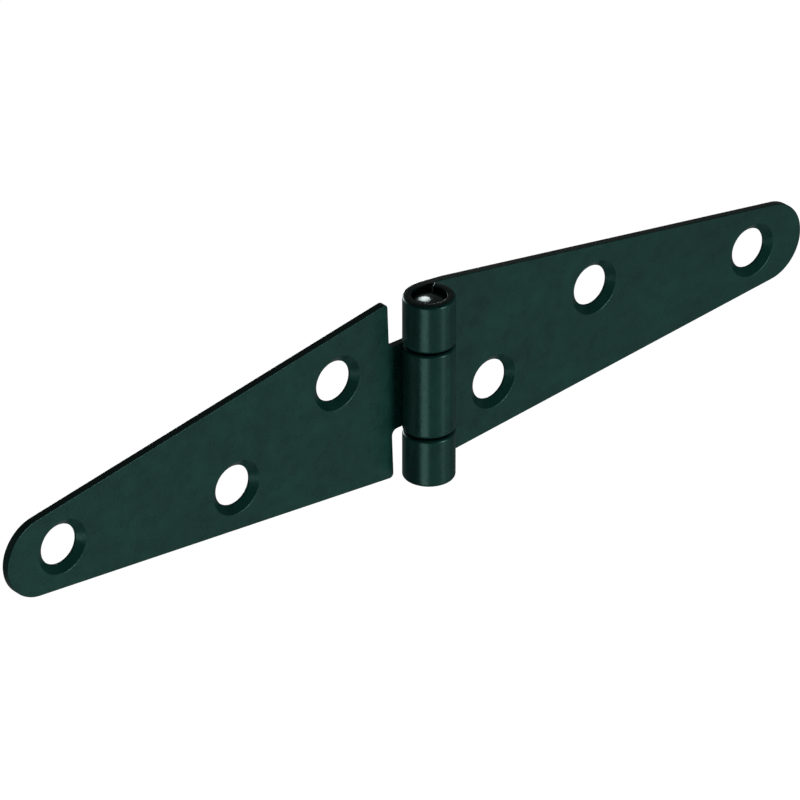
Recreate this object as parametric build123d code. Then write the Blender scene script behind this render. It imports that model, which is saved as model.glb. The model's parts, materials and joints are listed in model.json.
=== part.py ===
from build123d import *
import os
from math import asin, cos, degrees, radians, sin, tan

# Strap hinge: two equal tapered straps of painted sheet steel that turn on one fixed pin.
# The origin is the middle of the pin. +Z runs up the pin, +X along the right-hand strap and
# -Y out of the face that shows. The backs of both straps lie in one plane. Millimetres, degrees.

# Sheet, pin and barrel
sheet = 1.3  # thickness of both straps
edge_break = 0.2  # softened edges of the sheet
pin_diameter = 5.2
pin_recess = 0.4  # from each end of the barrel to the top of the pin's dome
pin_dome = 0.5  # height of the pin's domed ends
running_clearance = 0.05  # round the pin, in the centre knuckle
barrel_length = 29.9  # over all three knuckles
centre_knuckle = 13.8  # length of the left-hand strap's knuckle
knuckle_gap = 0.3  # between neighbouring knuckles
curl_seam = 0.25  # from the end of a rolled knuckle to its own strap

# Straps
strap_length = 76.2  # from the pin's axis to the tip
strap_inset = 0.3  # from each end of the barrel to the side of the strap's base
base_offset = 5.05  # from the pin's axis to the straight edge of the base
tip_radius = 6.3
strap_droop = 2.3  # degrees that each strap hangs below square with the pin
base_corner_round = 0.8
inner_corner_round = 1.0  # beside the tongues that carry the knuckles

# Screw holes, each at a distance along the strap from the pin's axis and off its centre line
hole_diameter = 6.3
countersink_diameter = 8.6
countersink_angle = 100.0
base_hole_reach = 15.0
base_hole_offset = 5.4
middle_hole_reach = 34.4
middle_hole_offset = -3.9
tip_hole_inset = 9.9  # from the tip

# Worked out from the sizes above
pin_radius = pin_diameter / 2
barrel_radius = pin_radius + sheet
strap_width = barrel_length - 2 * strap_inset
droop = radians(strap_droop)
back_plane = Plane.XZ.offset(-barrel_radius)
front_plane = back_plane.offset(sheet)
axis_plane = Plane.YZ


def hang(shape):
    """Turn a flat shape of the right-hand strap about the middle of the pin by the droop."""
    return Rot(0, 0, -strap_droop) * shape


def base_edge(height):
    """Distance from the pin's axis to the hanging base edge at a height."""
    return base_offset / cos(droop) + height * tan(droop)


def base_corner(side):
    """Corner of the hanging base, side 1 at the top and -1 at the bottom."""
    half = side * strap_width / 2
    return (base_offset * cos(droop) + half * sin(droop), half * cos(droop) - base_offset * sin(droop))


def strap_edges():
    """Edges that the tapered strap is stretched round: its straight base and its round tip."""
    base = Line((base_offset, -strap_width / 2), (base_offset, strap_width / 2))
    tip = Pos(strap_length - tip_radius, 0) * Circle(tip_radius)
    return hang(base).edges() + hang(tip).edges()


def rounded_corners(outline, points, radius):
    """Round the corners of an outline that lie at some points."""
    corners = [outline.vertices().sort_by_distance(point)[0] for point in points]
    return fillet(corners, radius)


def frame_outline():
    """Right-hand strap, with a tongue at each end of its base and a notch between them."""
    notch_half = centre_knuckle / 2 + knuckle_gap
    square_root = Pos(sheet / 2, 0) * Rectangle(sheet, barrel_length)
    whole = make_hull(square_root.edges() + strap_edges())
    notch = Polygon(
        (0, -notch_half),
        (base_edge(-notch_half), -notch_half),
        (base_edge(notch_half), notch_half),
        (0, notch_half),
        align=None,
    )
    corners = [(base_edge(height), height, 0) for height in (-notch_half, notch_half)]
    return rounded_corners(whole - notch, corners, inner_corner_round)


def gate_outline():
    """Left-hand strap, drawn to the right, with one tongue in the middle of its base."""
    half = centre_knuckle / 2
    tongue = Polygon(
        (0, -half),
        (base_edge(-half) + sheet, -half),
        (base_edge(half) + sheet, half),
        (0, half),
        align=None,
    )
    outline = make_hull(strap_edges()) + tongue
    inner = [(base_edge(height), height, 0) for height in (-half, half)]
    outline = rounded_corners(outline, inner, inner_corner_round)
    outer = [(*base_corner(side), 0) for side in (-1, 1)]
    return rounded_corners(outline, outer, base_corner_round)


def plate(outline):
    """Sheet of an outline, softened all round except where its tongues run into the knuckles."""
    body = extrude(back_plane * outline, sheet)
    flat_edges = body.faces().filter_by(Axis.Y).edges()
    soft = [edge for edge in flat_edges if edge.center().X > edge_break / 2]
    return chamfer(soft, edge_break)


def rolled_knuckle(low, high, bore_radius):
    """Sheet that leaves the strap's back at the pin, curls round the front and stops at the strap."""
    wall = barrel_radius - bore_radius
    section = Pos((barrel_radius + bore_radius) / 2, (low + high) / 2) * Rectangle(wall, high - low)
    section = chamfer(section.vertices(), edge_break)
    front_of_strap = barrel_radius - sheet
    curl_angle = 270 + degrees(asin((front_of_strap - curl_seam) / barrel_radius))
    return revolve(axis_plane * section, Axis.Z, curl_angle)


def screw_holes(offset_side):
    """Countersunk holes of the right-hand strap, with their stagger one way or the other."""
    tip_hole_reach = strap_length - tip_hole_inset
    places = (
        (base_hole_reach, base_hole_offset),
        (middle_hole_reach, middle_hole_offset),
        (tip_hole_reach, 0),
    )
    hole = CounterSinkHole(hole_diameter / 2, countersink_diameter / 2, 2 * sheet, countersink_angle)
    spots = [hang(Pos(reach, offset_side * offset)) for reach, offset in places]
    return [front_plane * spot * hole for spot in spots]


def frame_leaf():
    """Right-hand leaf: its two outer knuckles grip the pin."""
    notch_half = centre_knuckle / 2 + knuckle_gap
    leaf = plate(frame_outline())
    leaf += rolled_knuckle(notch_half, barrel_length / 2, pin_radius)
    leaf += rolled_knuckle(-barrel_length / 2, -notch_half, pin_radius)
    return leaf - screw_holes(offset_side=-1)


def gate_leaf():
    """Left-hand leaf: its centre knuckle is reamed to turn on the pin."""
    half = centre_knuckle / 2
    bore_radius = pin_radius + running_clearance
    leaf = plate(gate_outline())
    leaf += rolled_knuckle(-half, half, bore_radius)
    leaf -= Cylinder(bore_radius, centre_knuckle)
    leaf -= screw_holes(offset_side=1)
    return mirror(leaf, Plane.YZ)


def hinge_pin():
    """Plain pin with domed ends, a little inside the ends of the barrel."""
    half = barrel_length / 2 - pin_recess
    shoulder = half - pin_dome
    outline = [
        Line((0, -half), (0, half)),
        TangentArc((0, half), (pin_radius, shoulder), tangent=(1, 0)),
        Line((pin_radius, shoulder), (pin_radius, -shoulder)),
        TangentArc((0, -half), (pin_radius, -shoulder), tangent=(1, 0)),
    ]
    return revolve(Plane.XZ * make_face(outline), Axis.Z)


os.makedirs("parts", exist_ok=True)
export_step(frame_leaf(), "parts/frame_leaf.step")
export_step(gate_leaf(), "parts/gate_leaf.step")
export_step(hinge_pin(), "parts/hinge_pin.step")
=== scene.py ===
import json
import logging
import math
from dataclasses import dataclass
from enum import Enum
from typing import Callable, Iterable, Optional, Sequence

import bmesh
import bpy
from mathutils import Matrix, Vector


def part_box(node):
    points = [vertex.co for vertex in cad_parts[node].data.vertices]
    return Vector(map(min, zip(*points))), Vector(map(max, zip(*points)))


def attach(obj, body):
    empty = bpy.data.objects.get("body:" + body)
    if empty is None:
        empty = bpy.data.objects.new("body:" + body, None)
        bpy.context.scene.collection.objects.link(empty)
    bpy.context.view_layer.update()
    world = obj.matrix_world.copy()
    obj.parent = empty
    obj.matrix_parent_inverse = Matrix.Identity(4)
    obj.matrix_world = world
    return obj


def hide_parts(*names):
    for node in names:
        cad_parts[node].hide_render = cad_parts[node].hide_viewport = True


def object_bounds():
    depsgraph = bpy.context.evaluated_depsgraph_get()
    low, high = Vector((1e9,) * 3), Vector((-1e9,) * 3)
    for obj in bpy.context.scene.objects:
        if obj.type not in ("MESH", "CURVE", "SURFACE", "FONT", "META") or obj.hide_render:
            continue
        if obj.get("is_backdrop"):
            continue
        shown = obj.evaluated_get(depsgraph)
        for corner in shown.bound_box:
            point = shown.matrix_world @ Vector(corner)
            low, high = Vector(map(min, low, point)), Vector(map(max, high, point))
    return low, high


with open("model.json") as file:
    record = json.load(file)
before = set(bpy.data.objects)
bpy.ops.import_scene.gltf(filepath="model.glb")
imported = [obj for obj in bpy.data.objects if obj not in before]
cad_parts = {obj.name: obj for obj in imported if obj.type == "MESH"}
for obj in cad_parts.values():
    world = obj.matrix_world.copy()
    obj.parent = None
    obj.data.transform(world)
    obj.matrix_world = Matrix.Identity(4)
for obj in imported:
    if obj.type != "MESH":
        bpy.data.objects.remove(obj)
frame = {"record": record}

Point = tuple[float, float, float]
Colour = tuple[float, float, float, float]

LOG = logging.getLogger("strap_hinge")
MM = 0.001
PHOTO_PIXELS = 800
SENSOR_WIDTH_MM = 36.0
# Doubled points closer than the first are merged; a place closer than the second is the one asked for.
MERGE_DISTANCE = 0.001 * MM
NEAR = 0.01 * MM
# A face looks along an axis when its unit normal has more than this of it.
FACING = 0.9
# Weight of large faces in the shading of the rounds between them, from 1 to 100, where 50 is even.
FLAT_FACE_WEIGHT = 100
WHITE: Colour = (1.0, 1.0, 1.0, 1.0)
# Strength at which a white background is white in the picture.
WHITE_LEVEL = 1.0


class Side(Enum):
    """Which way a leaf reaches from the pin, seen from the front."""

    RIGHT = 1
    LEFT = -1


class LampShape(Enum):
    """Outline of a soft lamp, by Blender's name for it."""

    RECTANGLE = "RECTANGLE"
    ELLIPSE = "ELLIPSE"


class Bench:
    """Small helpers for modelling with Blender's own operators."""

    @staticmethod
    def clear_selection() -> None:
        """Leave edit mode if needed and select nothing."""
        if bpy.context.object is not None and bpy.context.object.mode != "OBJECT":
            bpy.ops.object.mode_set(mode="OBJECT")
        bpy.ops.object.select_all(action="DESELECT")

    @staticmethod
    def pick(*pieces: bpy.types.Object) -> None:
        """Select some pieces and nothing else, and make the first one active.

        Args:
            *pieces: The pieces to select.
        """
        Bench.clear_selection()
        for piece in pieces:
            piece.select_set(True)
        bpy.context.view_layer.objects.active = pieces[0]

    @staticmethod
    def new_point(name: str, place: Point) -> bpy.types.Object:
        """Start a mesh as a single point, in edit mode with the point selected.

        Args:
            name: Name of the new object and its mesh.
            place: Where the point goes, in metres.

        Returns:
            The new object, which sits at the origin.
        """
        Bench.clear_selection()
        bpy.ops.mesh.primitive_plane_add(size=MM, location=(0, 0, 0))
        piece = bpy.context.object
        piece.name = name
        piece.data.name = name
        bpy.ops.object.mode_set(mode="EDIT")
        bpy.ops.mesh.select_mode(type="VERT")
        bpy.ops.mesh.select_all(action="SELECT")
        bpy.ops.mesh.merge(type="CENTER")
        bpy.ops.transform.translate(value=place)
        return piece

    @staticmethod
    def extrude(step: Sequence[float]) -> None:
        """Extrude what is selected along a step."""
        bpy.ops.mesh.extrude_region_move(TRANSFORM_OT_translate={"value": tuple(step)})

    @staticmethod
    def select_points(piece: bpy.types.Object, test: Callable[[Vector], bool]) -> None:
        """Select the points of a piece in edit mode that pass a test of their place.

        Args:
            piece: Object in edit mode.
            test: Takes a point's place and says whether it is wanted.
        """
        bpy.ops.mesh.select_mode(type="VERT")
        bpy.ops.mesh.select_all(action="DESELECT")
        mesh = bmesh.from_edit_mesh(piece.data)
        for vertex in mesh.verts:
            if test(vertex.co):
                vertex.select_set(True)
        mesh.select_flush(True)
        bmesh.update_edit_mesh(piece.data)

    @staticmethod
    def select_faces(piece: bpy.types.Object, test: Callable[[Vector, Vector], bool]) -> None:
        """Select the faces of a piece in edit mode that pass a test of their middle and normal.

        Args:
            piece: Object in edit mode.
            test: Takes a face's middle and normal and says whether it is wanted.
        """
        bpy.ops.mesh.select_mode(type="FACE")
        bpy.ops.mesh.select_all(action="DESELECT")
        mesh = bmesh.from_edit_mesh(piece.data)
        mesh.normal_update()
        for face in mesh.faces:
            if test(face.calc_center_median(), face.normal):
                face.select_set(True)
        bmesh.update_edit_mesh(piece.data)

    @staticmethod
    def close_shell() -> None:
        """Merge doubled points of the piece in edit mode and turn its faces outwards."""
        bpy.ops.mesh.select_all(action="SELECT")
        bpy.ops.mesh.remove_doubles(threshold=MERGE_DISTANCE)
        bpy.ops.mesh.normals_make_consistent(inside=False)

    @staticmethod
    def apply_modifier(piece: bpy.types.Object, kind: str, **settings: object) -> None:
        """Add one modifier to a piece, set it and apply it.

        Args:
            piece: Object in object mode.
            kind: Blender's name for the modifier's type.
            **settings: Values for the modifier's own properties.
        """
        Bench.pick(piece)
        modifier = piece.modifiers.new(kind.lower(), kind)
        for key, value in settings.items():
            setattr(modifier, key, value)
        bpy.ops.object.modifier_apply(modifier=modifier.name)

    @staticmethod
    def smooth(piece: bpy.types.Object, angle: float) -> None:
        """Shade a piece smooth up to an angle, and keep its flat faces looking flat.

        Args:
            piece: Object in object mode.
            angle: Folds sharper than this stay sharp, in radians.
        """
        Bench.pick(piece)
        bpy.ops.object.shade_smooth_by_angle(angle=angle)
        Bench.apply_modifier(piece, "WEIGHTED_NORMAL", keep_sharp=True, weight=FLAT_FACE_WEIGHT)


@dataclass(frozen=True)
class HingeSizes:
    """Sizes that both leaves and the pin share, in metres and radians."""

    barrel_length: float
    barrel_radius: float
    pin_radius: float
    pin_length: float
    sheet: float = 1.3 * MM
    running_clearance: float = 0.05 * MM
    centre_knuckle: float = 13.8 * MM
    knuckle_gap: float = 0.3 * MM
    curl_seam: float = 0.25 * MM
    pin_dome: float = 0.5 * MM
    strap_length: float = 76.2 * MM
    strap_inset: float = 0.3 * MM
    base_offset: float = 5.05 * MM
    tip_radius: float = 6.3 * MM
    strap_droop: float = math.radians(2.3)
    base_corner_round: float = 0.8 * MM
    inner_corner_round: float = 1.0 * MM
    edge_round: float = 0.12 * MM
    knuckle_round: float = 0.45 * MM
    hole_radius: float = 3.15 * MM
    countersink_radius: float = 4.3 * MM
    countersink_half_angle: float = math.radians(50)
    rim_round: float = 0.07 * MM

    @classmethod
    def from_frame(cls) -> "HingeSizes":
        """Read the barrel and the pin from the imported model; the rest is set above.

        Returns:
            The sizes of this hinge.
        """
        leaf_low, leaf_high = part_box("frame_leaf")
        pin_low, pin_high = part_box("hinge_pin")
        return cls(
            barrel_length=leaf_high[2] - leaf_low[2],
            barrel_radius=(leaf_high[1] - leaf_low[1]) / 2,
            pin_radius=(pin_high[0] - pin_low[0]) / 2,
            pin_length=pin_high[2] - pin_low[2],
        )

    @property
    def strap_width(self) -> float:
        """Width of a strap at its base."""
        return self.barrel_length - 2 * self.strap_inset

    @property
    def front(self) -> float:
        """Place of the straps' front faces along Y; their backs are at the barrel's radius."""
        return self.barrel_radius - self.sheet

    @property
    def curl_angle(self) -> float:
        """Angle that the sheet is rolled through, from the strap's back to its seam."""
        return 1.5 * math.pi + math.asin((self.front - self.curl_seam) / self.barrel_radius)

    @property
    def side_slope(self) -> float:
        """Angle between the strap's sides, which touch the round of the tip, and its centre line."""
        run = self.strap_length - self.tip_radius - self.base_offset
        rise = self.strap_width / 2
        return math.atan2(rise, run) - math.asin(self.tip_radius / math.hypot(run, rise))

    def hang(self, reach: float, offset: float) -> tuple[float, float]:
        """Place on the hanging strap, as distance from the pin's axis and height.

        Args:
            reach: Distance along the strap from the pin's axis.
            offset: Distance off the strap's centre line.

        Returns:
            Distance from the pin's axis and height, in metres.
        """
        turn_cos = math.cos(self.strap_droop)
        turn_sin = math.sin(self.strap_droop)
        return reach * turn_cos + offset * turn_sin, offset * turn_cos - reach * turn_sin

    def base_edge(self, height: float) -> float:
        """Distance from the pin's axis to the hanging base edge at a height."""
        return self.base_offset / math.cos(self.strap_droop) + height * math.tan(self.strap_droop)


@dataclass(frozen=True)
class Noise:
    """A noise texture of a real size."""

    size: float
    detail: float
    roughness: float

    def build(self, tree: bpy.types.NodeTree, place: bpy.types.NodeSocket) -> bpy.types.NodeSocket:
        """Add the noise to a material.

        Args:
            tree: Node tree to add to.
            place: Socket that gives the coordinates, in metres.

        Returns:
            The socket with the noise's value.
        """
        node = tree.nodes.new("ShaderNodeTexNoise")
        node.inputs["Scale"].default_value = 1.0 / self.size
        node.inputs["Detail"].default_value = self.detail
        node.inputs["Roughness"].default_value = self.roughness
        tree.links.new(place, node.inputs["Vector"])
        return node.outputs["Fac"]


@dataclass(frozen=True)
class PaintFinish:
    """Satin enamel on steel: a deep green with soft mottling and a fine orange peel."""

    name: str
    deep: Colour
    light: Colour
    roughness_low: float
    roughness_high: float
    specular: float
    sheen: Colour
    mottle: Noise = Noise(size=9.0 * MM, detail=3.0, roughness=0.55)
    cloud: Noise = Noise(size=2.2 * MM, detail=4.0, roughness=0.6)
    peel: Noise = Noise(size=0.55 * MM, detail=2.0, roughness=0.5)
    grit: Noise = Noise(size=0.12 * MM, detail=1.0, roughness=0.5)
    peel_depth: float = 0.022 * MM
    grit_depth: float = 0.003 * MM
    cloud_share: float = 0.45
    # Values of the noises that give the two ends of the colour and of the roughness.
    tint_range: tuple[float, float] = (0.32, 0.68)
    gloss_range: tuple[float, float] = (0.3, 0.7)

    def build(self) -> bpy.types.Material:
        """Make the node material.

        Returns:
            The new material.
        """
        material = bpy.data.materials.new(self.name)
        material.use_nodes = True
        tree = material.node_tree
        shader = tree.nodes["Principled BSDF"]
        shader.inputs["Specular IOR Level"].default_value = self.specular
        shader.inputs["Specular Tint"].default_value = self.sheen
        place = tree.nodes.new("ShaderNodeTexCoord").outputs["Object"]
        mottle = self.mottle.build(tree, place)
        cloud = self.cloud.build(tree, place)
        tree.links.new(self._tint(tree, mottle, cloud), shader.inputs["Base Color"])
        tree.links.new(self._gloss(tree, cloud), shader.inputs["Roughness"])
        peel = self._bump(tree, self.peel.build(tree, place), self.peel_depth, None)
        grit = self._bump(tree, self.grit.build(tree, place), self.grit_depth, peel)
        tree.links.new(grit, shader.inputs["Normal"])
        return material

    def _tint(
        self, tree: bpy.types.NodeTree, mottle: bpy.types.NodeSocket, cloud: bpy.types.NodeSocket
    ) -> bpy.types.NodeSocket:
        """Add the colour, which wanders between deep and light.

        Args:
            tree: Node tree to add to.
            mottle: Socket with the broad noise.
            cloud: Socket with the finer noise.

        Returns:
            The socket with the colour.
        """
        blend = tree.nodes.new("ShaderNodeMix")
        blend.data_type = "FLOAT"
        blend.inputs["Factor"].default_value = self.cloud_share
        tree.links.new(mottle, blend.inputs["A"])
        tree.links.new(cloud, blend.inputs["B"])
        tint = tree.nodes.new("ShaderNodeValToRGB")
        stops = tint.color_ramp.elements
        for stop, position, colour in zip(stops, self.tint_range, (self.deep, self.light)):
            stop.position = position
            stop.color = colour
        tree.links.new(blend.outputs["Result"], tint.inputs["Fac"])
        return tint.outputs["Color"]

    def _gloss(self, tree: bpy.types.NodeTree, cloud: bpy.types.NodeSocket) -> bpy.types.NodeSocket:
        """Add the roughness, which wanders between its two ends.

        Args:
            tree: Node tree to add to.
            cloud: Socket with the noise that the roughness follows.

        Returns:
            The socket with the roughness.
        """
        gloss = tree.nodes.new("ShaderNodeMapRange")
        gloss.inputs["From Min"].default_value = self.gloss_range[0]
        gloss.inputs["From Max"].default_value = self.gloss_range[1]
        gloss.inputs["To Min"].default_value = self.roughness_low
        gloss.inputs["To Max"].default_value = self.roughness_high
        tree.links.new(cloud, gloss.inputs["Value"])
        return gloss.outputs["Result"]

    @staticmethod
    def _bump(
        tree: bpy.types.NodeTree,
        height: bpy.types.NodeSocket,
        depth: float,
        below: Optional[bpy.types.NodeSocket],
    ) -> bpy.types.NodeSocket:
        """Add a bump of a real depth over another one.

        Args:
            tree: Node tree to add to.
            height: Socket with the height, from 0 to 1.
            depth: Height of a full bump, in metres.
            below: Normal that this bump goes over, if any.

        Returns:
            The socket with the bumped normal.
        """
        node = tree.nodes.new("ShaderNodeBump")
        node.inputs["Strength"].default_value = 1.0
        node.inputs["Distance"].default_value = depth
        tree.links.new(height, node.inputs["Height"])
        if below is not None:
            tree.links.new(below, node.inputs["Normal"])
        return node.outputs["Normal"]


LEAF_PAINT = PaintFinish(
    name="green_enamel",
    deep=(0.002, 0.0235, 0.0188, 1.0),
    light=(0.0044, 0.0405, 0.0328, 1.0),
    roughness_low=0.25,
    roughness_high=0.32,
    specular=0.35,
    sheen=(0.48, 1.0, 0.87, 1.0),
)
# The pin's colours are darker than the leaves' paint. This is painted shade, which keeps the pin's recessed
# ends dark under the lamp that lights the pin alone.
PIN_PAINT = PaintFinish(
    name="glossy_enamel_with_painted_shade",
    deep=(0.0012, 0.013, 0.0104, 1.0),
    light=(0.002, 0.018, 0.0146, 1.0),
    roughness_low=0.12,
    roughness_high=0.16,
    specular=0.6,
    sheen=(0.75, 1.0, 0.95, 1.0),
)


@dataclass
class HingePart:
    """One part of the hinge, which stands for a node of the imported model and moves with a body."""

    node: str
    body: str
    sizes: HingeSizes
    finish: PaintFinish

    def build(self) -> bpy.types.Object:
        """Model the part, which each kind of part does in its own way."""
        raise NotImplementedError

    def dress(self, piece: bpy.types.Object) -> None:
        """Paint the part and put it in place of its node.

        Args:
            piece: The finished object.
        """
        piece.data.materials.clear()
        piece.data.materials.append(self.finish.build())
        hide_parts(self.node)
        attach(piece, self.body)


@dataclass
class Leaf(HingePart):
    """One leaf of the hinge: a tapered strap whose tongues are rolled into knuckles."""

    side: Side
    holes: list[Point]
    tip_steps: int = 40
    curl_steps: int = 64
    hole_steps: int = 64
    rim_steps: int = 3
    corner_steps: int = 6
    edge_steps: int = 4
    # Folds above the first are rounded, and folds above the second stay sharp in the shading.
    sharp_angle: float = math.radians(40)
    smooth_angle: float = math.radians(35)
    # Turns over which a knuckle's rim grows round from the strap's edge, and thins out to the seam.
    rim_start: float = math.radians(60)
    rim_end: float = math.radians(25)
    # How far off the barrel's radius a rim may lie, and how far out of level.
    rim_tolerance: float = 0.05 * MM
    level_tolerance: float = 0.1 * MM
    # How many times longer the end steps of a hole's cutter are made, to reach out of the sheet.
    overshoot: float = 5.0

    def at(self, reach: float, height: float) -> Vector:
        """Point on the back of this leaf's sheet."""
        return Vector((self.side.value * reach, self.sizes.barrel_radius, height))

    @property
    def has_centre_knuckle(self) -> bool:
        """Whether this leaf carries the one knuckle in the middle."""
        return self.side is Side.LEFT

    @property
    def notch_half(self) -> float:
        """Half the height of this leaf's centre tongue, or of its notch."""
        half = self.sizes.centre_knuckle / 2
        return half if self.has_centre_knuckle else half + self.sizes.knuckle_gap

    def root_outline(self) -> list[Vector]:
        """Points of the base from the top of the strap round its tongues to the bottom.

        Returns:
            Points on the back of the sheet, the strap's two base corners first and last.
        """
        sizes = self.sizes
        half = self.notch_half
        end = sizes.barrel_length / 2
        top = sizes.hang(sizes.base_offset, sizes.strap_width / 2)
        bottom = sizes.hang(sizes.base_offset, -sizes.strap_width / 2)
        inner_top = (sizes.base_edge(half), half)
        inner_bottom = (sizes.base_edge(-half), -half)
        if self.has_centre_knuckle:
            spots = [top, inner_top, (0, half), (0, -half), inner_bottom, bottom]
        else:
            upper = [(sizes.sheet, end), (0, end), (0, half)]
            lower = [(0, -half), (0, -end), (sizes.sheet, -end)]
            spots = [top, *upper, inner_top, inner_bottom, *lower, bottom]
        return [self.at(*spot) for spot in spots]

    def draw_outline(self) -> bpy.types.Object:
        """Trace the leaf's flat outline by extruding a point round it, and fill it.

        Returns:
            The new object, in edit mode, as one flat face.
        """
        sizes = self.sizes
        slope = sizes.side_slope
        reach = sizes.strap_length - sizes.tip_radius
        drop = sizes.tip_radius * math.cos(slope)
        touch = self.at(*sizes.hang(reach + sizes.tip_radius * math.sin(slope), -drop))
        corners = self.root_outline()
        piece = Bench.new_point(f"{self.node}_sheet", corners[0])
        for start, end in zip(corners, corners[1:] + [touch]):
            Bench.extrude(end - start)
        bpy.ops.mesh.spin(
            steps=self.tip_steps,
            angle=self.side.value * (math.pi - 2 * slope),
            center=self.at(*sizes.hang(reach, 0)),
            axis=(0, 1, 0),
        )
        bpy.ops.mesh.select_all(action="SELECT")
        bpy.ops.mesh.edge_face_add()
        return piece

    def round_corners(self, piece: bpy.types.Object) -> None:
        """Round the corners beside the tongues, and the base's own corners where they stand free.

        Args:
            piece: The flat leaf, in edit mode.
        """
        sizes = self.sizes
        spots = [(sizes.base_edge(sign * self.notch_half), sign * self.notch_half) for sign in (1, -1)]
        self._round_at(piece, spots, sizes.inner_corner_round)
        if self.has_centre_knuckle:
            half = sizes.strap_width / 2
            spots = [sizes.hang(sizes.base_offset, sign * half) for sign in (1, -1)]
            self._round_at(piece, spots, sizes.base_corner_round)

    def _round_at(self, piece: bpy.types.Object, spots: Iterable[tuple[float, float]], radius: float) -> None:
        """Round the outline's corners that lie at some places.

        Args:
            piece: The flat leaf, in edit mode.
            spots: Places of the corners, as distance from the pin's axis and height.
            radius: Radius of the rounding.
        """
        places = [self.at(*spot) for spot in spots]
        Bench.select_points(piece, lambda point: any((point - place).length < NEAR for place in places))
        bpy.ops.mesh.bevel(offset=radius, segments=self.corner_steps, affect="VERTICES")

    def thicken(self) -> None:
        """Give the flat outline the sheet's thickness, towards the front."""
        bpy.ops.mesh.select_all(action="SELECT")
        Bench.extrude((0, -self.sizes.sheet, 0))
        Bench.close_shell()

    def roll_knuckles(self, piece: bpy.types.Object) -> None:
        """Roll the ends of the tongues round the pin, as the sheet of the real one is rolled.

        Args:
            piece: The leaf's plate, in edit mode.
        """
        sizes = self.sizes
        if self.has_centre_knuckle:
            Bench.select_points(
                piece, lambda point: abs(point.x) < NEAR and abs(point.y - sizes.front) < NEAR
            )
            bpy.ops.transform.translate(value=(0, sizes.running_clearance, 0))
        Bench.select_faces(piece, lambda middle, normal: abs(middle.x) < NEAR and abs(normal.x) > FACING)
        bpy.ops.mesh.spin(
            steps=self.curl_steps,
            angle=self.side.value * sizes.curl_angle,
            center=(0, 0, 0),
            axis=(0, 0, -1),
        )
        Bench.close_shell()

    def weigh_edges(self, piece: bpy.types.Object) -> None:
        """Give each sharp edge its bevel weight: the knuckles' outer rims are the roundest.

        Args:
            piece: The leaf, in edit mode.
        """
        sizes = self.sizes
        plain = sizes.edge_round / sizes.knuckle_round
        mesh = bmesh.from_edit_mesh(piece.data)
        mesh.normal_update()
        weights = mesh.edges.layers.float.new("bevel_weight_edge")
        for edge in mesh.edges:
            if edge.calc_face_angle(0.0) < self.sharp_angle:
                continue
            start, end = (vertex.co for vertex in edge.verts)
            middle = (start + end) / 2
            turned = math.atan2(-self.side.value * middle.x, middle.y) % (2 * math.pi)
            on_rim = abs(math.hypot(middle.x, middle.y) - sizes.barrel_radius) < self.rim_tolerance
            level = abs(start.z - end.z) <= self.level_tolerance
            if on_rim and level and turned < sizes.curl_angle:
                blend = min(1.0, turned / self.rim_start, (sizes.curl_angle - turned) / self.rim_end)
                edge[weights] = plain + (1 - plain) * blend
            else:
                edge[weights] = plain
        bmesh.update_edit_mesh(piece.data)

    def cut_holes(self, piece: bpy.types.Object) -> None:
        """Cut the countersunk screw holes, with their softened rims.

        Args:
            piece: The leaf, in object mode.
        """
        profile = self.hole_profile()
        cutters = [self._hole_cutter(place, profile) for place in self.holes]
        Bench.pick(*cutters)
        bpy.ops.object.join()
        Bench.apply_modifier(piece, "BOOLEAN", operation="DIFFERENCE", object=cutters[0], solver="EXACT")
        bpy.data.objects.remove(cutters[0], do_unlink=True)

    def hole_profile(self) -> list[Vector]:
        """Side view of a countersunk hole: a straight land that opens into a cone, with soft rims.

        Returns:
            Points from behind the sheet to the front of it, each a radius and a place along Y.
        """
        sizes = self.sizes
        back = sizes.barrel_radius
        cone = (sizes.countersink_radius - sizes.hole_radius) / math.tan(sizes.countersink_half_angle)
        # The first and last corners lie out along the sheet's faces, and only give a direction.
        corners = [
            Vector((2 * sizes.hole_radius, back)),
            Vector((sizes.hole_radius, back)),
            Vector((sizes.hole_radius, sizes.front + cone)),
            Vector((sizes.countersink_radius, sizes.front)),
            Vector((2 * sizes.countersink_radius, sizes.front)),
        ]
        points: list[Vector] = []
        for before, corner, after in zip(corners, corners[1:], corners[2:]):
            points += self._rounded_corner(before, corner, after)
        points[0] = points[1] + self.overshoot * (points[0] - points[1])
        points[-1] = points[-2] + self.overshoot * (points[-1] - points[-2])
        return points

    def _rounded_corner(self, before: Vector, corner: Vector, after: Vector) -> list[Vector]:
        """Points of a round that takes the place of a corner of a profile.

        Args:
            before: The profile's corner before this one.
            corner: The corner to round.
            after: The profile's corner after this one.

        Returns:
            Points from one end of the round to the other.
        """
        onward = (corner - before).normalized()
        away = (after - corner).normalized()
        fold = onward.angle(away)
        radius = self.sizes.rim_round / math.tan(fold / 2)
        centre = corner + (away - onward).normalized() * radius / math.cos(fold / 2)
        arm = corner - onward * self.sizes.rim_round - centre
        turn = math.copysign(fold / self.rim_steps, onward.x * away.y - onward.y * away.x)
        return [centre + Matrix.Rotation(step * turn, 2) @ arm for step in range(self.rim_steps + 1)]

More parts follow.
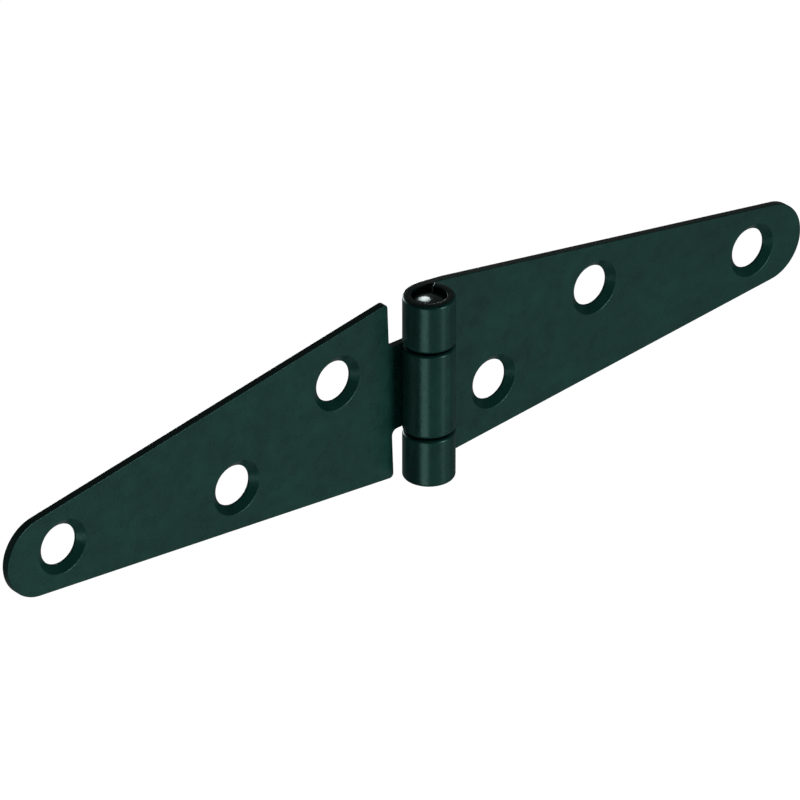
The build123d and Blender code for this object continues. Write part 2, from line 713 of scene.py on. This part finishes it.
    def _hole_cutter(self, place: Point, profile: list[Vector]) -> bpy.types.Object:
        """Model the shape that a hole takes out of the sheet, ring by ring.

        Args:
            place: Middle of the hole.
            profile: Radius and place along Y of each ring.

        Returns:
            The cutter, as a closed object.
        """
        Bench.clear_selection()
        bpy.ops.mesh.primitive_circle_add(
            vertices=self.hole_steps,
            radius=profile[0].x,
            fill_type="NGON",
            location=(place[0], profile[0].y, place[2]),
            rotation=(math.pi / 2, 0, 0),
        )
        cutter = bpy.context.object
        cutter.name = f"{self.node}_cutter"
        bpy.ops.object.transform_apply(location=True, rotation=True)
        bpy.ops.object.mode_set(mode="EDIT")
        bpy.ops.mesh.select_all(action="SELECT")
        for ring, following in zip(profile, profile[1:]):
            Bench.extrude((0, following.y - ring.y, 0))
            scale = following.x / ring.x
            bpy.ops.transform.resize(value=(scale, 1, scale), center_override=(place[0], 0, place[2]))
        Bench.close_shell()
        bpy.ops.object.mode_set(mode="OBJECT")
        return cutter

    def build(self) -> bpy.types.Object:
        """Model the leaf from its outline to its softened edges.

        Returns:
            The finished object.
        """
        piece = self.draw_outline()
        self.round_corners(piece)
        self.thicken()
        self.roll_knuckles(piece)
        self.weigh_edges(piece)
        bpy.ops.object.mode_set(mode="OBJECT")
        Bench.apply_modifier(
            piece, "BEVEL", width=self.sizes.knuckle_round, segments=self.edge_steps, limit_method="WEIGHT"
        )
        self.cut_holes(piece)
        Bench.smooth(piece, self.smooth_angle)
        return piece


@dataclass
class HingePin(HingePart):
    """The pin: a plain rod with low domes at its ends."""

    round_steps: int = 64
    dome_steps: int = 8
    smooth_angle: float = math.radians(60)

    def build(self) -> bpy.types.Object:
        """Model the pin.

        Returns:
            The finished object.
        """
        sizes = self.sizes
        rod_length = sizes.pin_length - 2 * sizes.pin_dome
        Bench.clear_selection()
        bpy.ops.mesh.primitive_cylinder_add(
            vertices=self.round_steps, radius=sizes.pin_radius, depth=rod_length, end_fill_type="NGON"
        )
        piece = bpy.context.object
        piece.name = f"{self.node}_rod"
        piece.data.name = piece.name
        bpy.ops.object.mode_set(mode="EDIT")
        for sign in (1, -1):
            self._raise_dome(piece, sign)
        Bench.close_shell()
        bpy.ops.object.mode_set(mode="OBJECT")
        Bench.smooth(piece, self.smooth_angle)
        return piece

    def _raise_dome(self, piece: bpy.types.Object, sign: int) -> None:
        """Raise one end of the rod into a dome, ring by ring.

        Args:
            piece: The rod, in edit mode.
            sign: 1 for the upper end, -1 for the lower one.
        """
        sizes = self.sizes
        ball = (sizes.pin_radius**2 + sizes.pin_dome**2) / (2 * sizes.pin_dome)
        edge_angle = math.asin(sizes.pin_radius / ball)
        Bench.select_faces(piece, lambda middle, normal: sign * normal.z > FACING)
        radius = sizes.pin_radius
        height = 0.0
        for step in range(1, self.dome_steps):
            angle = edge_angle * (1 - step / self.dome_steps)
            new_radius = ball * math.sin(angle)
            new_height = sizes.pin_dome - ball * (1 - math.cos(angle))
            Bench.extrude((0, 0, sign * (new_height - height)))
            scale = new_radius / radius
            bpy.ops.transform.resize(value=(scale, scale, 1), center_override=(0, 0, 0))
            radius = new_radius
            height = new_height
        Bench.extrude((0, 0, sign * (sizes.pin_dome - height)))
        bpy.ops.mesh.merge(type="CENTER")


def look_from(
    watcher: bpy.types.Object, azimuth: float, elevation: float, distance: float, aim: Point = (0.0, 0.0, 0.0)
) -> None:
    """Stand a camera or lamp off from a place and turn it to look there.

    Args:
        watcher: The camera or lamp.
        azimuth: Angle round the upright axis in radians, 0 in front and growing to the right.
        elevation: Angle above level, in radians.
        distance: Distance from the place, in metres.
        aim: The place to look at.
    """
    flat = math.cos(elevation)
    toward = Vector((math.sin(azimuth) * flat, -math.cos(azimuth) * flat, math.sin(elevation)))
    watcher.location = Vector(aim) + distance * toward
    watcher.rotation_euler = (-toward).to_track_quat("-Z", "Y").to_euler()


@dataclass(frozen=True)
class PhotoCamera:
    """The camera, placed where the photo was taken from."""

    azimuth: float = math.radians(-41.025)
    elevation: float = math.radians(29.641)
    distance: float = 1341.5 * MM
    aim: Point = (-2.404 * MM, 3.622 * MM, -3.142 * MM)
    focal_pixels: float = 9261.0
    nearest: float = 10 * MM
    farthest: float = 50.0

    def build(self) -> None:
        """Make the camera and set it as the scene's own."""
        data = bpy.data.cameras.new("photo_camera")
        data.sensor_width = SENSOR_WIDTH_MM
        data.lens = self.focal_pixels * SENSOR_WIDTH_MM / PHOTO_PIXELS
        data.clip_start = self.nearest
        data.clip_end = self.farthest
        camera = bpy.data.objects.new("photo_camera", data)
        bpy.context.scene.collection.objects.link(camera)
        look_from(camera, self.azimuth, self.elevation, self.distance, self.aim)
        bpy.context.scene.camera = camera


@dataclass(frozen=True)
class Lamp:
    """One soft area lamp that looks at the hinge, with its angles in degrees and its power in watts."""

    name: str
    azimuth: float
    elevation: float
    distance: float
    width: float
    height: float
    power: float
    shape: LampShape = LampShape.RECTANGLE

    def build(self, lit_alone: Optional[bpy.types.Object] = None) -> None:
        """Make the lamp.

        Args:
            lit_alone: The one piece that the lamp lights, where it isn't for the whole hinge.
        """
        data = bpy.data.lights.new(self.name, "AREA")
        data.shape = self.shape.value
        data.size = self.width
        data.size_y = self.height
        data.energy = self.power
        lamp = bpy.data.objects.new(self.name, data)
        bpy.context.scene.collection.objects.link(lamp)
        look_from(lamp, math.radians(self.azimuth), math.radians(self.elevation), self.distance)
        lamp.visible_camera = False
        if lit_alone is not None:
            receivers = bpy.data.collections.new(f"{self.name}_lights")
            receivers.objects.link(lit_alone)
            lamp.light_linking.receiver_collection = receivers


KEY = Lamp("key", azimuth=18, elevation=-4, distance=2.4, width=0.8, height=0.7, power=28.0)
LOW_FRONT = Lamp("low_front", azimuth=-17, elevation=-29, distance=1.2, width=2.0, height=0.28, power=0.9)
LOW_RIGHT = Lamp("low_right", azimuth=23, elevation=-28, distance=2.4, width=0.5, height=0.7, power=1.2)
VEIL = Lamp("veil", azimuth=46, elevation=-29, distance=2.4, width=1.1, height=0.8, power=0.68)
STRIP = Lamp("strip", azimuth=-60, elevation=-29, distance=0.9, width=0.42, height=0.36, power=1.2)
BACK = Lamp("back", azimuth=170, elevation=-3, distance=2.0, width=2.2, height=0.5, power=42.0)
GLINT = Lamp(
    "glint",
    azimuth=146,
    elevation=36,
    distance=1.6,
    width=0.36,
    height=0.6,
    power=5.0,
    shape=LampShape.ELLIPSE,
)


@dataclass(frozen=True)
class Studio:
    """A pale floor, soft lamps and a white surround."""

    lamps: tuple[Lamp, ...] = (KEY, LOW_FRONT, LOW_RIGHT, VEIL, STRIP, BACK)
    pin_lamp: Lamp = GLINT
    floor_drop: float = 2.0
    floor_size: float = 16.0
    floor_cells: int = 4
    floor_colour: Colour = (0.4, 0.4, 0.4, 1.0)
    floor_roughness: float = 0.9
    floor_specular: float = 0.1
    # How much of the white is mirrored in the hinge, and the strength at which it lights the hinge.
    mirrored_share: float = 0.06
    surround_strength: float = 0.03

    def build(self, pin: bpy.types.Object) -> None:
        """Make the floor, the lamps and the world.

        Args:
            pin: The hinge pin, whose ends have a glint of their own.
        """
        self._floor()
        for lamp in self.lamps:
            lamp.build()
        self.pin_lamp.build(lit_alone=pin)
        self._world()
        bpy.context.scene.view_settings.view_transform = "Standard"

    def _floor(self) -> None:
        """Lay the floor, which is white to the camera and lights nothing of its own."""
        Bench.clear_selection()
        bpy.ops.mesh.primitive_grid_add(
            x_subdivisions=self.floor_cells,
            y_subdivisions=self.floor_cells,
            size=self.floor_size,
            location=(0, 0, -self.floor_drop),
        )
        floor = bpy.context.object
        floor.name = "studio_floor"
        bpy.ops.object.transform_apply(location=True)
        material = bpy.data.materials.new("studio_floor")
        material.use_nodes = True
        tree = material.node_tree
        shader = tree.nodes["Principled BSDF"]
        shader.inputs["Base Color"].default_value = self.floor_colour
        shader.inputs["Roughness"].default_value = self.floor_roughness
        shader.inputs["Specular IOR Level"].default_value = self.floor_specular
        shader.inputs["Emission Color"].default_value = WHITE
        tree.links.new(self._seen_level(tree, unseen=0.0), shader.inputs["Emission Strength"])
        floor.data.materials.append(material)
        floor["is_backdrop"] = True

    def _world(self) -> None:
        """Surround the hinge with white that lights it only a little."""
        world = bpy.data.worlds.new("studio")
        bpy.context.scene.world = world
        world.use_nodes = True
        tree = world.node_tree
        back = tree.nodes["Background"]
        back.inputs["Color"].default_value = WHITE
        tree.links.new(self._seen_level(tree, unseen=self.surround_strength), back.inputs["Strength"])

    def _seen_level(self, tree: bpy.types.NodeTree, unseen: float) -> bpy.types.NodeSocket:
        """Add a level that is white where it is seen and lower for rays that only carry light.

        Glossy rays get a level between the two, by the mirrored share.

        Args:
            tree: Node tree to add to.
            unseen: Level for rays that only carry light.

        Returns:
            The socket with the level.
        """
        path = tree.nodes.new("ShaderNodeLightPath")
        mirrored = tree.nodes.new("ShaderNodeMath")
        mirrored.operation = "MULTIPLY"
        mirrored.inputs[1].default_value = self.mirrored_share
        tree.links.new(path.outputs["Is Glossy Ray"], mirrored.inputs[0])
        seen = path.outputs["Is Camera Ray"]
        for other in (mirrored.outputs["Value"], path.outputs["Is Transmission Ray"]):
            larger = tree.nodes.new("ShaderNodeMath")
            larger.operation = "MAXIMUM"
            tree.links.new(seen, larger.inputs[0])
            tree.links.new(other, larger.inputs[1])
            seen = larger.outputs["Value"]
        level = tree.nodes.new("ShaderNodeMapRange")
        level.inputs["To Min"].default_value = unseen
        level.inputs["To Max"].default_value = WHITE_LEVEL
        tree.links.new(seen, level.inputs["Value"])
        return level.outputs["Result"]


def hole_places(leaf: str) -> list[Point]:
    """Middles of a leaf's screw holes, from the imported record.

    Args:
        leaf: Name of the leaf's node.

    Returns:
        Places in metres, base hole first.
    """
    names = [f"{leaf}_{spot}_hole" for spot in ("base", "middle", "tip")]
    mounts = {mount["name"]: mount for mount in frame["record"]["mounts"]}
    return [tuple(mounts[name]["pos_m"]) for name in names]


def plain_bounds() -> list[list[float]]:
    """Bounds of the visual model as plain lists."""
    return [[float(value) for value in corner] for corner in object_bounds()]


def main() -> None:
    """Build the hinge's parts and the studio, and report each piece."""
    logging.basicConfig(level=logging.INFO, format="%(name)s %(message)s")
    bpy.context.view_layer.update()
    sizes = HingeSizes.from_frame()
    parts: list[HingePart] = [
        Leaf("frame_leaf", "frame_side", sizes, LEAF_PAINT, Side.RIGHT, hole_places("frame_leaf")),
        Leaf("gate_leaf", "gate_side", sizes, LEAF_PAINT, Side.LEFT, hole_places("gate_leaf")),
        HingePin("hinge_pin", "frame_side", sizes, PIN_PAINT),
    ]
    pieces: list[bpy.types.Object] = []
    for part in parts:
        piece = part.build()
        part.dress(piece)
        pieces.append(piece)
        LOG.info("%s: %d points, %d faces", piece.name, len(piece.data.vertices), len(piece.data.polygons))
    Studio().build(pin=pieces[-1])
    PhotoCamera().build()
    LOG.info("bounds %s", plain_bounds())


if __name__ == "__main__":
    main()
